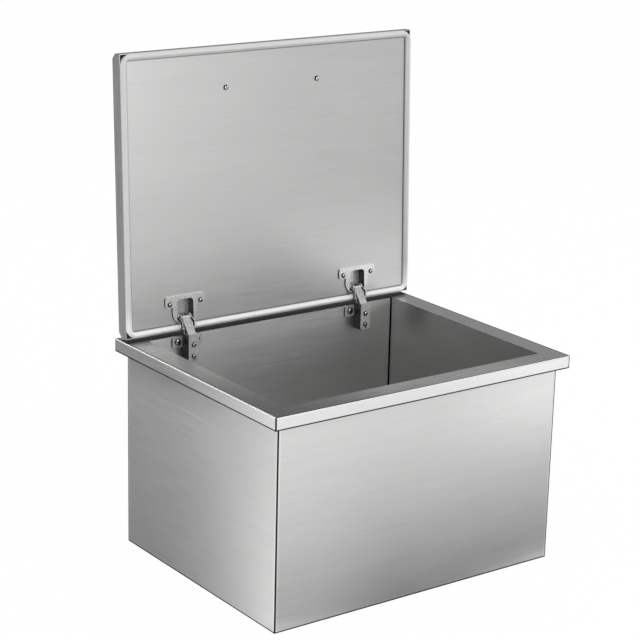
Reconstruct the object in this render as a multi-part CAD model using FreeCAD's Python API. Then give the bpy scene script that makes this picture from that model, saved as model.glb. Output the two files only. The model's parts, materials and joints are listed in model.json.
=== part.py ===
"""Drop-in ice chest: a double-walled stainless box with a gasketed lid on two concealed cup hinges.

Frame: X runs left to right along the long front, Y runs to the back, Z is up.
The origin is on the underside of the base, below the middle of the rim outline.
The lid pieces are modelled shut and then swung open, because the chest is stored with its lid up.
"""
import FreeCAD, Part

import math
import os

V = FreeCAD.Vector
TO_BACK = (0, 1, 0)
UP = (0, 0, 1)

# ---------------------------------------------------------------- driving dimensions, in mm
# Rim and casing
rim_length = 508.0            # 20 in, left to right
rim_depth = 406.4             # 16 in, front to back
rim_height = 311.0            # top of the rim above the base
skirt_drop = 19.0             # height of the rim's turned-down edge
rim_overhang = 13.0           # rim edge past the casing, all round
rim_return = 10.0             # inward hem that lies on the counter
rim_edge_radius = 1.6
flange_side = 34.0            # flat top of the rim, rim edge to tub opening
flange_front = 30.0
flange_rear = 35.0
sheet = 1.0                   # stainless sheet
seam_bevel = 0.45             # bevel each sheet has at a corner seam
pan_lip = 15.0                # turned-up edge of the base pan

# Tub and drain
tub_floor = 40.0              # floor above the underside; foam, spud and nut lie below it
drain_x = 0.0
drain_y = 70.0
drain_bore = 18.6             # G 1/2 female outlet
drain_tail = 26.0             # outside of the spud's threaded tail
drain_flange = 46.0
drain_flange_thickness = 2.0
drain_dish_drop = 3.0         # pressed dish that the spud's flange sits in
drain_dish_margin = 1.5
drain_dish_slope = 6.0
drain_base_clearance = 2.0    # tail end above the underside
tail_gap = 0.3                # tail to the hole in the tub
base_hole_gap = 1.0           # tail to the hole in the base pan
strainer_ledge_depth = 1.5    # strainer ledge below the stopper
drain_nut_across = 38.0
drain_nut_height = 8.0
drain_nut_fit = 0.05          # thread fit on the tail
drain_washer_thickness = 2.0
drain_washer_fit = 0.2
drain_mouth_wall = 2.0        # tail wall round the stopper's mouth
drain_flange_chamfer = 0.8
drain_well_gap = 1.5          # pressed dish to the foam
strainer_slot = 2.2           # width of each slot
strainer_pitch = 4.2
strainer_slot_pairs = 1       # slots on each side of the middle one
strainer_rim = 2.2            # solid rim round the slots
strainer_fit = 0.2
stopper_height = 11.0
stopper_head = 36.0
stopper_head_thickness = 3.0
stopper_neck = 4.0            # radius under the pull knob
stopper_knob = 7.0            # radius of the pull knob
stopper_knob_rise = 11.0      # knob top above the head
stopper_knob_height = 4.5     # the knob's disc
stopper_neck_flare = 1.5
stopper_head_taper = 1.2      # rim of head and knob, on the radius
stopper_taper = 0.9           # how much slimmer the plug's foot is, on the radius
stopper_gap = 0.3

# Lid
lid_inset = 0.0               # lid outline inside the rim outline
lid_thickness = 19.0
lid_bevel = 7.5               # 45 degree bevel along the front and rear edges; the ends are flat
lid_panel_turn = 5.0          # turned-in edge of the inner panel
gasket_inset = 0.5            # lid edge to the gasket's bulb
gasket_width = 8.7
gasket_proud = 6.0            # bulb past the lid's lip
gasket_root = 3.2             # root inside the lid's channel
gasket_root_inset = 1.3       # lid edge to the root, which the bulb overhangs
gasket_chamfer = 3.4          # along both edges of its face
gasket_corner = 17.0
gasket_corner_inside = 5.0
panel_gap = 0.4               # gasket to inner panel
strip_thickness = 1.5         # plastic strip under the gasket
strip_gap = 0.1               # strip to the skin and to the inner panel
seal_gap = 0.3                # gasket above the rim when shut

# Lid stance when it is open
open_lean = 2.16              # degrees past upright
open_setback = 30.4           # rim's rear edge forward to the lip plane
open_lift = 5.2               # lid's lower edge above the rim top

# Handle
handle_pitch = 160.0          # leg to leg
handle_from_front_edge = 59.9
handle_rod = 10.0
handle_standoff = 34.0        # lid face to the rod's middle
handle_bend = 14.0
handle_collar = 18.0
handle_collar_height = 3.0
handle_collar_chamfer = 1.0
handle_screw = 5.0
handle_screw_bite = 9.0       # screw inside the handle's leg

# Hinges: positions are given from the tub's rear wall and the rim top
hinge_x = 155.0
pivot_a_forward = 15.7        # outer link on the arm
pivot_a_rise = 0.0
pivot_b_forward = 4.2         # inner link on the arm
pivot_b_rise = 10.0
pivot_c_swing = 16.0          # outer link's cup pivot, from the lid's pole of motion
pivot_d_swing = 11.5          # inner link's cup pivot, from the same pole
pin_radius = 1.25
stub_radius = 1.1
pin_clearance = 0.05
arm_slot_gap = 0.4            # adjusting slot to the screw
arm_width = 17.5
arm_sheet = 1.5
arm_bottom = 35.0             # below the rim top
arm_face_forward = 19.9       # front face, from the tub wall
arm_face_rise = 4.8           # its upper edge above the rim top
arm_ribs = (2.0, -1.5, -5.0)  # pressed ribs, from the rim top
arm_rib_proud = 0.6
arm_rib_half_height = 1.0
arm_rib_end = 1.5             # rib end to the side of the arm
nose_eye = 2.2
nose_floor = 3.6              # nose shoulder above the rim top
arm_back_gap = 2.3            # cheeks forward of the tub wall
strap_width = 13.0
strap_thickness = 2.4
strap_eye = 2.5
strap_knee_forward = 10.7     # bend of the outer link, from the tub wall
strap_knee_rise = 7.0
side_link_thickness = 1.5
side_link_gap = 0.65          # side link to arm cheek
side_link_half_width = 1.9
side_link_eye = 2.2
side_link_knee_forward = 4.2
side_link_knee_rise = 18.8
slot_travel = 1.9             # free travel in the cup eye of a side link
slot_turn = 72.0              # direction of that travel, degrees from +Y towards +Z
slot_radius = 1.8
slot_wall = 0.8
lug_thickness = 1.7
lug_gap = 0.5
lug_eye = 2.3
pin_overhang = 0.4            # pin past the cheek or link that it holds
stub_overhang = 0.15          # cup stub past the inside of its side link

# Hinge mounting plate on the tub wall
plate_wing_width = 51.0
plate_wing_height = 17.5
plate_thickness = 2.0
plate_corner = 4.0
plate_wing_top = 0.7          # below the rim top
plate_screw_pitch = 32.0
rail_width = 13.0
rail_bottom = 38.0            # below the rim top
rail_top = 5.0
rail_wall = 2.0
rail_front_gap = 0.3
arm_screw_upper = 11.5        # below the rim top
arm_screw_lower = 28.5

# Hinge cup in the lid
cup_from_edge = 29.6          # cup centre from the lid's rear edge
cup_radius = 20.8
cup_boss_radius = 21.6        # raised disc round the cup, as thick as its flange
cup_depth = 13.0
cup_floor = 1.0
cup_gasket_gap = 0.7          # cup's flat side to the gasket
cup_wall = 1.0
cup_cavity_width = 27.7
cup_cavity_top = 46.8
cup_cavity_corner = 6.0
cup_flange_width = 67.2
cup_flange_low = 35.9
cup_flange_high = 52.7
cup_flange_thickness = 2.0
cup_flange_corner = 4.5
cup_screw_pitch = 52.0
cup_screw_line = 41.3

# Screws
screw_shank = 4.0
screw_head = 7.6
screw_head_height = 2.2
plate_screw_head = 10.5
screw_head_taper = 0.7        # how much narrower the head's top is, on the radius
screw_length = 9.0
screw_fit = 0.1
arm_screw_length = 6.0

# Foam
foam_gap = 0.3
nut_room = 5.0                # pocket past the middle of each hinge screw

# ---------------------------------------------------------------- sizes worked out from them
half_rim_x = rim_length / 2
half_rim_y = rim_depth / 2
half_case_x = half_rim_x - rim_overhang
half_case_y = half_rim_y - rim_overhang
flange_under = rim_height - sheet
tub_x = half_rim_x - flange_side
tub_front = -half_rim_y + flange_front
tub_rear = half_rim_y - flange_rear
half_lid_x = half_rim_x - lid_inset
lid_rear = half_rim_y - lid_inset
lid_front = -half_rim_y + lid_inset
lip = rim_height + gasket_proud + seal_gap          # the lid's lip plane when shut
lid_travel = 90 + open_lean
handle_screw_grip = lid_thickness + handle_collar_height + handle_screw_bite
strip_low = lip + gasket_root
panel_inset = gasket_inset + gasket_width + panel_gap
arm_front = tub_rear - arm_face_forward
cheek_inside = arm_width / 2 - arm_sheet
side_link_inside = arm_width / 2 + side_link_gap
side_link_outside = side_link_inside + side_link_thickness
lug_inside = strap_width / 2 + lug_gap
lug_outside = lug_inside + lug_thickness
cup_cut = gasket_inset + gasket_width + cup_gasket_gap
dish_floor = tub_floor - drain_dish_drop
hinge_sides = (("left", -1), ("right", 1))


# ---------------------------------------------------------------- linkage geometry in the Y-Z plane
def turned(point, centre, degrees):
    """Point turned about centre, from +Y towards +Z."""
    angle = math.radians(degrees)
    y, z = point[0] - centre[0], point[1] - centre[1]
    return (centre[0] + y * math.cos(angle) - z * math.sin(angle),
            centre[1] + y * math.sin(angle) + z * math.cos(angle))


def direction(start, end):
    """Angle of the line from start to end, in degrees from +Y towards +Z."""
    return math.degrees(math.atan2(end[1] - start[1], end[0] - start[0]))


def motion_pole():
    """The one point that the open lid and the shut lid share."""
    shut = (lid_rear, lip)
    opened = (half_rim_y - open_setback, rim_height + open_lift)
    middle = ((shut[0] + opened[0]) / 2, (shut[1] + opened[1]) / 2)
    reach = 0.5 / math.tan(math.radians(lid_travel / 2))
    across = (shut[0] - opened[0], shut[1] - opened[1])
    return (middle[0] - across[1] * reach, middle[1] + across[0] * reach)


def cup_pivot(arm_pivot, swing):
    """Open place of the cup pivot whose link turns about arm_pivot, and its place when shut."""
    angle = direction(pole, arm_pivot) - lid_travel / 2
    opened = (pole[0] + swing * math.cos(math.radians(angle)),
              pole[1] + swing * math.sin(math.radians(angle)))
    return opened, turned(opened, pole, lid_travel)


pole = motion_pole()
pivot_a = (tub_rear - pivot_a_forward, rim_height + pivot_a_rise)
pivot_b = (tub_rear - pivot_b_forward, rim_height + pivot_b_rise)
pivot_c, pivot_c_shut = cup_pivot(pivot_a, pivot_c_swing)
pivot_d, pivot_d_shut = cup_pivot(pivot_b, pivot_d_swing)


# ---------------------------------------------------------------- shape helpers
def block(x0, x1, y0, y1, z0, z1):
    return Part.makeBox(x1 - x0, y1 - y0, z1 - z0, V(x0, y0, z0))


def rod(radius, start, end):
    axis = V(*end) - V(*start)
    return Part.makeCylinder(radius, axis.Length, V(*start), axis)


def post(radius, x, y, z0, z1):
    """An upright rod."""
    return rod(radius, (x, y, z0), (x, y, z1))


def spans(centre_x, near, far):
    """The left and the right stretch of X that lie between near and far from centre_x."""
    return [(centre_x - far, centre_x - near), (centre_x + near, centre_x + far)]


def rounded_block(x0, x1, y0, y1, z0, z1, radius):
    solid = block(x0, x1, y0, y1, z0, z1)
    return solid.makeFillet(radius, upright_edges(solid))


def upright_edges(solid):
    return [e for e in solid.Edges if abs(e.BoundBox.ZLength - solid.BoundBox.ZLength) < 1e-6
            and e.BoundBox.XLength < 1e-6 and e.BoundBox.YLength < 1e-6]


def edges_at(solid, height):
    return [e for e in solid.Edges
            if abs(e.BoundBox.ZMin - height) < 1e-6 and abs(e.BoundBox.ZMax - height) < 1e-6]


def inset_block(inset, z0, z1, radius=0.0):
    """A block that follows the lid's outline, inset by the given amount."""
    corners = (-half_lid_x + inset, half_lid_x - inset, lid_front + inset, lid_rear - inset, z0, z1)
    return rounded_block(*corners, radius) if radius else block(*corners)


def joined(shapes):
    return shapes[0].fuse(shapes[1:]).removeSplitter() if len(shapes) > 1 else shapes[0]


def side_plate(outline, x0, x1):
    """A plate cut to an outline of (y, z) points and lying between x0 and x1."""
    points = [V(x0, y, z) for y, z in outline]
    face = Part.Face(Part.makePolygon(points + points[:1]))
    return face.extrude(V(x1 - x0, 0, 0))


def side_disc(centre, radius, x0, x1):
    return rod(radius, (x0, *centre), (x1, *centre))


def side_bar(points, half_width, x0, x1):
    """A bar of straight runs with round joints, in the Y-Z plane."""
    pieces = []
    for start, end in zip(points, points[1:]):
        angle = math.radians(direction(start, end))
        off = (-math.sin(angle) * half_width, math.cos(angle) * half_width)
        outline = [(start[0] - off[0], start[1] - off[1]), (end[0] - off[0], end[1] - off[1]),
                   (end[0] + off[0], end[1] + off[1]), (start[0] + off[0], start[1] + off[1])]
        pieces.append(side_plate(outline, x0, x1))
    pieces += [side_disc(point, half_width, x0, x1) for point in points[1:-1]]
    return joined(pieces)


def side_slot(start, end, radius, x0, x1):
    """A straight slot with round ends, in the Y-Z plane."""
    return joined([side_bar([start, end], radius, x0, x1), side_disc(start, radius, x0, x1),
                   side_disc(end, radius, x0, x1)])


def swing_open(shape):
    """Carry a lid piece from shut to open."""
    moved = shape.copy()
    moved.rotate(V(0, *pole), V(1, 0, 0), -lid_travel)
    return moved


def turned_solid(profile):
    """A solid turned about Z from a closed outline of (radius, z) points."""
    points = [V(radius, 0, z) for radius, z in profile]
    return Part.Face(Part.makePolygon(points + points[:1])).revolve(V(0, 0, 0), V(*UP), 360)


def pan_screw(seat, inward, length=screw_length, shank=screw_shank, head=screw_head):
    """A pan-head screw whose head stands on seat; inward is the way its shank points."""
    half = head / 2
    screw = turned_solid([(0, -screw_head_height), (half - screw_head_taper, -screw_head_height), (half, 0),
                          (shank / 2, 0), (shank / 2, length), (0, length)])
    screw.Placement = FreeCAD.Placement(V(*seat), FreeCAD.Rotation(V(0, 0, 1), V(*inward)))
    return screw


def screw_hole(seat, inward, length=screw_length, shank=screw_shank):
    return Part.makeCylinder(shank / 2 + screw_fit, length + screw_fit, V(*seat), V(*inward))


# ---------------------------------------------------------------- where the fasteners go
def plate_screw_seats(centre_x):
    height = rim_height - plate_wing_top - plate_wing_height / 2
    front = tub_rear - plate_thickness
    return [(centre_x + side * plate_screw_pitch / 2, front, height) for side in (-1, 1)]


def arm_screw_seats(centre_x):
    return [(centre_x, arm_front, rim_height - drop) for drop in (arm_screw_upper, arm_screw_lower)]


def cup_screw_seats(centre_x):
    low = lip - cup_flange_thickness
    return [(centre_x + side * cup_screw_pitch / 2, lid_rear - cup_screw_line, low)
            for side in (-1, 1)]


def handle_seats():
    return [(side * handle_pitch / 2, lid_front + handle_from_front_edge, lip) for side in (-1, 1)]


# ---------------------------------------------------------------- casing, rim and tub
def casing_panel(x0, x1, y0, y1):
    panel = block(x0, x1, y0, y1, 0, flange_under)
    corners = [e for e in upright_edges(panel)
               if abs(abs(e.BoundBox.XMin) - half_case_x) < 1e-6
               and abs(abs(e.BoundBox.YMin) - min(half_case_y, max(abs(y0), abs(y1)))) < 1e-6]
    return panel.makeChamfer(seam_bevel, corners)


def casing_front():
    return casing_panel(-half_case_x, half_case_x, -half_case_y, -half_case_y + sheet)


def casing_rear():
    return casing_panel(-half_case_x, half_case_x, half_case_y - sheet, half_case_y)


def casing_left():
    return casing_panel(-half_case_x, -half_case_x + sheet, -half_case_y + sheet, half_case_y - sheet)


def casing_right():
    return casing_panel(half_case_x - sheet, half_case_x, -half_case_y + sheet, half_case_y - sheet)


def seam_prism(x, y, z0, z1):
    """Square prism on its corner, which bevels an upright edge at a seam."""
    half = seam_bevel / math.sqrt(2)
    prism = block(-half, half, -half, half, 0, z1 - z0)
    prism.rotate(V(0, 0, 0), V(0, 0, 1), 45)
    prism.translate(V(x, y, z0))
    return prism


def base_pan():
    x, y = half_case_x - sheet, half_case_y - sheet
    pan = block(-x, x, -y, y, 0, pan_lip)
    pan = pan.cut(block(-x + sheet, x - sheet, -y + sheet, y - sheet, sheet, pan_lip))
    return pan.cut(post(drain_tail / 2 + base_hole_gap, drain_x, drain_y, 0, sheet))


def rim_frame():
    low = rim_height - skirt_drop
    body = block(-half_rim_x, half_rim_x, -half_rim_y, half_rim_y, low, rim_height)
    body = body.makeFillet(rim_edge_radius, edges_at(body, rim_height))
    for x in (-half_rim_x, half_rim_x):
        for y in (-half_rim_y, half_rim_y):
            body = body.cut(seam_prism(x, y, low, rim_height))
    x, y = half_rim_x - sheet, half_rim_y - sheet
    body = body.cut(block(-x, x, -y, y, low + sheet, flange_under))
    x, y = half_rim_x - rim_return, half_rim_y - rim_return
    body = body.cut(block(-x, x, -y, y, low, low + sheet))
    return body.cut(block(-tub_x, tub_x, tub_front, tub_rear, flange_under, rim_height))


def drain_cone(radius, z0, z1):
    return Part.makeCone(radius, radius + drain_dish_slope, z1 - z0, V(drain_x, drain_y, z0), V(*UP))


def inner_tub():
    dish = drain_flange / 2 + drain_dish_margin
    outside = block(-tub_x - sheet, tub_x + sheet, tub_front - sheet, tub_rear + sheet,
                    tub_floor - sheet, flange_under)
    outside = outside.fuse(drain_cone(dish + sheet, dish_floor - sheet, tub_floor - sheet))
    inside = block(-tub_x, tub_x, tub_front, tub_rear, tub_floor, flange_under)
    inside = inside.fuse(drain_cone(dish, dish_floor, tub_floor))
    tub = outside.cut(inside)
    tub = tub.cut(post(drain_tail / 2 + tail_gap, drain_x, drain_y, 0, tub_floor))
    for _, side in hinge_sides:
        for seat in plate_screw_seats(side * hinge_x):
            tub = tub.cut(screw_hole(seat, TO_BACK))
    return tub.removeSplitter()


# ---------------------------------------------------------------- foam between the walls
def foam_side(side):
    inner, outer = tub_x + sheet + foam_gap, half_case_x - 2 * sheet - foam_gap
    end = half_case_y - 2 * sheet - foam_gap
    x0, x1 = sorted((side * inner, side * outer))
    return block(x0, x1, -end, end, tub_floor - sheet, flange_under - foam_gap)


def foam_end(y0, y1):
    return block(-tub_x - sheet, tub_x + sheet, y0, y1, tub_floor - sheet, flange_under - foam_gap)


def insulation_front():
    return foam_end(-half_case_y + 2 * sheet + foam_gap, tub_front - sheet - foam_gap)


def insulation_rear():
    """Rear foam, with a pocket for the ends of each hinge plate's screws."""
    front = tub_rear + sheet + foam_gap
    deep = tub_rear - plate_thickness + screw_length + foam_gap
    foam = foam_end(front, half_case_y - 2 * sheet - foam_gap)
    for _, side in hinge_sides:
        (x0, _, z), (x1, _, _) = plate_screw_seats(side * hinge_x)
        foam = foam.cut(block(x0 - nut_room, x1 + nut_room, front, deep, z - nut_room, z + nut_room))
    return foam


def insulation_base():
    x, y = half_case_x - 2 * sheet - foam_gap, half_case_y - 2 * sheet - foam_gap
    foam = block(-x, x, -y, y, sheet + foam_gap, tub_floor - sheet - foam_gap)
    well = drain_flange / 2 + drain_dish_margin + drain_dish_slope + drain_well_gap
    return foam.cut(post(well, drain_x, drain_y, 0, tub_floor))


# ---------------------------------------------------------------- drain
def drain_ring(radius, z0, z1):
    return post(radius, drain_x, drain_y, z0, z1)


def drain_spud():
    top = dish_floor + drain_flange_thickness
    spud = drain_ring(drain_flange / 2, dish_floor, top)
    spud = spud.makeChamfer(drain_flange_chamfer, edges_at(spud, top))
    spud = spud.fuse(drain_ring(drain_tail / 2, drain_base_clearance, dish_floor))
    mouth = stopper_seat_radius()
    spud = spud.cut(drain_ring(mouth, top - stopper_height - strainer_ledge_depth, top))
    return spud.cut(drain_ring(drain_bore / 2, drain_base_clearance, top)).removeSplitter()


def stopper_seat_radius():
    return drain_tail / 2 - drain_mouth_wall


def drain_washer():
    top = dish_floor - sheet
    ring = drain_ring(drain_flange / 2, top - drain_washer_thickness, top)
    return ring.cut(drain_ring(drain_tail / 2 + drain_washer_fit, top - drain_washer_thickness, top))


def drain_nut():
    top = dish_floor - sheet - drain_washer_thickness
    corner = drain_nut_across / math.sqrt(3)
    points = [V(drain_x + corner * math.cos(math.radians(60 * i)),
                drain_y + corner * math.sin(math.radians(60 * i)), top - drain_nut_height)
              for i in range(7)]
    nut = Part.Face(Part.makePolygon(points)).extrude(V(0, 0, drain_nut_height))
    return nut.cut(drain_ring(drain_tail / 2 + drain_nut_fit, top - drain_nut_height, top))


def drain_strainer():
    """Slotted disc on the ledge at the bottom of the spud's mouth."""
    ledge = dish_floor + drain_flange_thickness - stopper_height - strainer_ledge_depth
    radius = stopper_seat_radius() - strainer_fit
    disc = drain_ring(radius, ledge, ledge + sheet)
    for step in range(-strainer_slot_pairs, strainer_slot_pairs + 1):
        y = step * strainer_pitch
        half = math.sqrt((radius - strainer_rim) ** 2 - y ** 2)
        disc = disc.cut(block(drain_x - half, drain_x + half, drain_y + y - strainer_slot / 2,
                              drain_y + y + strainer_slot / 2, ledge, ledge + sheet))
    return disc


def drain_stopper():
    """Tapered rubber stopper with a moulded pull knob, turned as one profile."""
    seat = stopper_seat_radius() - stopper_gap
    head = stopper_head / 2
    head_low = dish_floor + drain_flange_thickness + stopper_gap
    head_top = head_low + stopper_head_thickness
    foot = head_low - stopper_height
    knob_top = head_top + stopper_knob_rise
    knob_low = knob_top - stopper_knob_height
    stopper = turned_solid([
        (0, foot), (seat - stopper_taper, foot), (seat, head_low), (head, head_low),
        (head - stopper_head_taper, head_top), (stopper_neck + stopper_neck_flare, head_top),
        (stopper_neck, knob_low), (stopper_knob, knob_low),
        (stopper_knob - stopper_head_taper, knob_top), (0, knob_top)])
    stopper.translate(V(drain_x, drain_y, 0))
    return stopper


# ---------------------------------------------------------------- hinge parts on the tub wall
def hinge_plate(centre_x):
    """Wing plate screwed to the tub wall, with the hollow rail that carries the arm."""
    top = rim_height - plate_wing_top
    wing = rounded_block(-plate_wing_width / 2, plate_wing_width / 2, 0, plate_wing_height,
                         0, plate_thickness, plate_corner)
    wing.rotate(V(0, 0, 0), V(1, 0, 0), 90)
    wing.translate(V(centre_x, tub_rear, top - plate_wing_height))
    front = arm_front + arm_sheet + rail_front_gap
    z0, z1 = rim_height - rail_bottom, rim_height - rail_top
    half = rail_width / 2
    rail = block(centre_x - half, centre_x + half, front, tub_rear, z0, z1)
    hollow = block(centre_x - half + rail_wall, centre_x + half - rail_wall, front + rail_wall,
                   tub_rear, z0, z1 - rail_wall)
    plate = wing.fuse(rail.cut(hollow))
    for seat in plate_screw_seats(centre_x):
        plate = plate.cut(screw_hole(seat, TO_BACK))
    for seat in arm_screw_seats(centre_x):
        plate = plate.cut(screw_hole(seat, TO_BACK, arm_screw_length))
    return plate.removeSplitter()


def hinge_arm(centre_x):
    """Channel arm: a ribbed web with the adjusting slot, and two cheeks that rise to both pivots."""
    back = tub_rear - arm_back_gap
    low, shoulder = rim_height - arm_bottom, rim_height + nose_floor
    nose_front, nose_back = pivot_b[0] - nose_eye, pivot_b[0] + nose_eye
    outline = [(arm_front, low), (back, low), (back, pivot_b[1] - 2 * nose_eye),
               (nose_back, pivot_b[1] - nose_eye), (nose_back, pivot_b[1]), (nose_front, pivot_b[1]),
               (nose_front, shoulder), (arm_front, shoulder)]
    cheeks = []
    for x0, x1 in spans(centre_x, cheek_inside, arm_width / 2):
        cheek = joined([side_plate(outline, x0, x1), side_disc(pivot_b, nose_eye, x0, x1)])
        cheeks.append(cheek.cut(side_disc(pivot_a, pin_radius + pin_clearance, x0, x1)))
    web_back = arm_front + arm_sheet
    web = block(centre_x - arm_width / 2, centre_x + arm_width / 2, arm_front, web_back,
                low, rim_height + arm_face_rise)
    web = web.cut(screw_hole(arm_screw_seats(centre_x)[0], TO_BACK))
    slot_centre = rim_height - arm_screw_lower
    slot_half = screw_shank / 2 + arm_slot_gap
    web = web.cut(rod(slot_half, (centre_x, arm_front, slot_centre), (centre_x, web_back, slot_centre)))
    web = web.cut(block(centre_x - slot_half, centre_x + slot_half, arm_front, web_back, low, slot_centre))
    return joined(cheeks + [web] + arm_face_ribs(centre_x))


def arm_face_ribs(centre_x):
    """Pressed ribs across the web's face, with sloped sides."""
    half, proud = arm_width / 2 - arm_rib_end, arm_front - arm_rib_proud
    root, crown = arm_rib_half_height, arm_rib_half_height - arm_rib_proud
    ribs = []
    for middle in [rim_height + rise for rise in arm_ribs]:
        outline = [(arm_front, middle - root), (proud, middle - crown),
                   (proud, middle + crown), (arm_front, middle + root)]
        ribs.append(side_plate(outline, centre_x - half, centre_x + half))
    return ribs


def arm_pins(centre_x):
    """Riveted pin for the outer link and the two stubs, on the cheeks' outer faces, for the inner link."""
    reach = arm_width / 2 + pin_overhang
    pin = side_disc(pivot_a, pin_radius, centre_x - reach, centre_x + reach)
    stub_ends = (arm_width / 2, side_link_outside + pin_overhang)
    stubs = [side_disc(pivot_b, stub_radius, x0, x1) for x0, x1 in spans(centre_x, *stub_ends)]
    return Part.makeCompound([pin] + stubs)


def outer_link(centre_x):
    """Bent strap from the arm to the cup."""
    x0, x1 = centre_x - strap_width / 2, centre_x + strap_width / 2
    knee = (tub_rear - strap_knee_forward, rim_height + strap_knee_rise)
    strap = side_bar([pivot_a, knee, pivot_c], strap_thickness / 2, x0, x1)
    strap = joined([strap] + [side_disc(p, strap_eye, x0, x1) for p in (pivot_a, pivot_c)])
    for point in (pivot_a, pivot_c):
        strap = strap.cut(side_disc(point, pin_radius + pin_clearance, x0, x1))
    return strap


def inner_link(centre_x):
    """Two bent side links; their slotted cup eyes give the linkage the play that it turns with."""
    knee = (tub_rear - side_link_knee_forward, rim_height + side_link_knee_rise)
    angle = math.radians(slot_turn)
    slot_end = (pivot_d[0] + slot_travel * math.cos(angle), pivot_d[1] + slot_travel * math.sin(angle))
    links = []
    for x0, x1 in spans(centre_x, side_link_inside, side_link_outside):
        link = joined([side_bar([pivot_b, knee, pivot_d], side_link_half_width, x0, x1),
                       side_disc(pivot_b, side_link_eye, x0, x1),
                       side_slot(pivot_d, slot_end, slot_radius + slot_wall, x0, x1)])
        link = link.cut(side_slot(pivot_d, slot_end, slot_radius, x0, x1))
        links.append(link.cut(side_disc(pivot_b, stub_radius + pin_clearance, x0, x1)))
    return Part.makeCompound(links)


# ---------------------------------------------------------------- hinge parts in the lid, modelled shut
def hinge_cup(centre_x):
    """Die-cast cup: flange plate, round boss and body with the link cavity, and lugs for the outer link."""
    low, deep = lip - cup_flange_thickness, lip + cup_depth
    place = (centre_x, lid_rear - cup_from_edge)
    x0, x1 = centre_x - cup_boss_radius, centre_x + cup_boss_radius
    body = post(cup_radius, *place, lip, deep).fuse(post(cup_boss_radius, *place, low, lip))
    body = body.cut(block(x0, x1, lid_rear - cup_cut, lid_rear, low, deep))
    flange = rounded_block(centre_x - cup_flange_width / 2, centre_x + cup_flange_width / 2,
                           lid_rear - cup_flange_high, lid_rear - cup_flange_low,
                           low, lip, cup_flange_corner)
    cup = body.fuse(flange).cut(cup_cavity(centre_x))
    y, z = pivot_c_shut
    for x0, x1 in spans(centre_x, lug_inside, lug_outside):
        stem = block(x0, x1, y - lug_eye, y + lug_eye, z, deep - cup_floor)
        cup = joined([cup, stem, side_disc(pivot_c_shut, lug_eye, x0, x1)])
    cup = cup.cut(cup_pin_solids(centre_x)[0])
    for seat in cup_screw_seats(centre_x):
        cup = cup.cut(screw_hole(seat, UP))
    return cup.removeSplitter()


def cup_cavity(centre_x):
    half = cup_cavity_width / 2
    y0, y1 = lid_rear - cup_cavity_top, lid_rear - cup_cut - cup_wall
    z0, z1 = lip - cup_flange_thickness, lip + cup_depth - cup_floor
    cavity = block(centre_x - half, centre_x + half, y0, y1, z0, z1)
    rounded = [e for e in upright_edges(cavity) if abs(e.BoundBox.YMin - y0) < 1e-6]
    return cavity.makeFillet(cup_cavity_corner, rounded)


def cup_pin_solids(centre_x):
    """The outer link's pin through its lugs, and the side links' two stubs on the cup's walls."""
    pin = side_disc(pivot_c_shut, pin_radius, centre_x - lug_outside, centre_x + lug_outside)
    stub_ends = (side_link_inside - stub_overhang, cup_cavity_width / 2)
    return [pin] + [side_disc(pivot_d_shut, pin_radius, x0, x1) for x0, x1 in spans(centre_x, *stub_ends)]


def cup_pins(centre_x):
    return Part.makeCompound(cup_pin_solids(centre_x))


# ---------------------------------------------------------------- lid, modelled shut
def bevelled_lid(inset, z0, bevel):
    """A lid-shaped block whose outer face is bevelled along the front and the rear."""
    top = lip + lid_thickness - inset
    solid = inset_block(inset, z0, top)
    return solid.makeChamfer(bevel, [e for e in edges_at(solid, top) if e.BoundBox.YLength < 1e-6])


def inner_bevel(inset):
    """Bevel of a skin that runs parallel to the outer face, inset by this much."""
    return lid_bevel - inset * (2 - math.sqrt(2))


def lid_skin():
    skin = bevelled_lid(0, lip, lid_bevel).cut(bevelled_lid(sheet, lip, inner_bevel(sheet)))
    return handle_holes(skin)


def lid_inner_panel():
    corner = gasket_corner_inside - panel_gap
    panel = inset_block(panel_inset, lip, lip + lid_panel_turn, corner)
    panel = panel.cut(inset_block(panel_inset + sheet, lip + sheet, lip + lid_panel_turn, corner - sheet))
    for _, side in hinge_sides:
        for seat in cup_screw_seats(side * hinge_x):
            panel = panel.cut(screw_hole(seat, UP))
    return handle_holes(cup_pockets(panel))


def cup_pockets(shape):
    """Cut the round pockets for both hinge cups out of a lid piece."""
    for _, side in hinge_sides:
        place = (side * hinge_x, lid_rear - cup_from_edge)
        shape = shape.cut(post(cup_radius + foam_gap, *place, lip, lip + cup_depth + foam_gap))
    return shape


def handle_holes(shape):
    """Cut the holes for both handle screws out of a lid piece."""
    for seat in handle_seats():
        shape = shape.cut(screw_hole(seat, UP, handle_screw_grip, handle_screw))
    return shape


def lid_foam():
    """Foam core, with a pocket for the ends of each hinge cup's screws."""
    inset = sheet + foam_gap
    low, deep = lip + sheet + foam_gap, lip - cup_flange_thickness + screw_length + foam_gap
    foam = bevelled_lid(inset, strip_low + strip_thickness + foam_gap, inner_bevel(inset))
    core = inset_block(panel_inset + sheet + foam_gap, low, strip_low + strip_thickness + 1,
                       gasket_corner_inside - foam_gap)
    foam = cup_pockets(foam.fuse(core))
    for _, side in hinge_sides:
        (x0, y, _), (x1, _, _) = cup_screw_seats(side * hinge_x)
        foam = foam.cut(block(x0 - nut_room, x1 + nut_room, y - nut_room, y + nut_room, low, deep))
    return handle_holes(foam).removeSplitter()


def lid_breaker_strip():
    """Plastic strip that closes the channel under the gasket."""
    top = strip_low + strip_thickness
    strip = inset_block(sheet + strip_gap, strip_low, top)
    corner = gasket_corner_inside - panel_gap + strip_gap
    middle = inset_block(panel_inset - strip_gap, strip_low, top, corner)
    return cup_pockets(strip.cut(middle))


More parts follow.
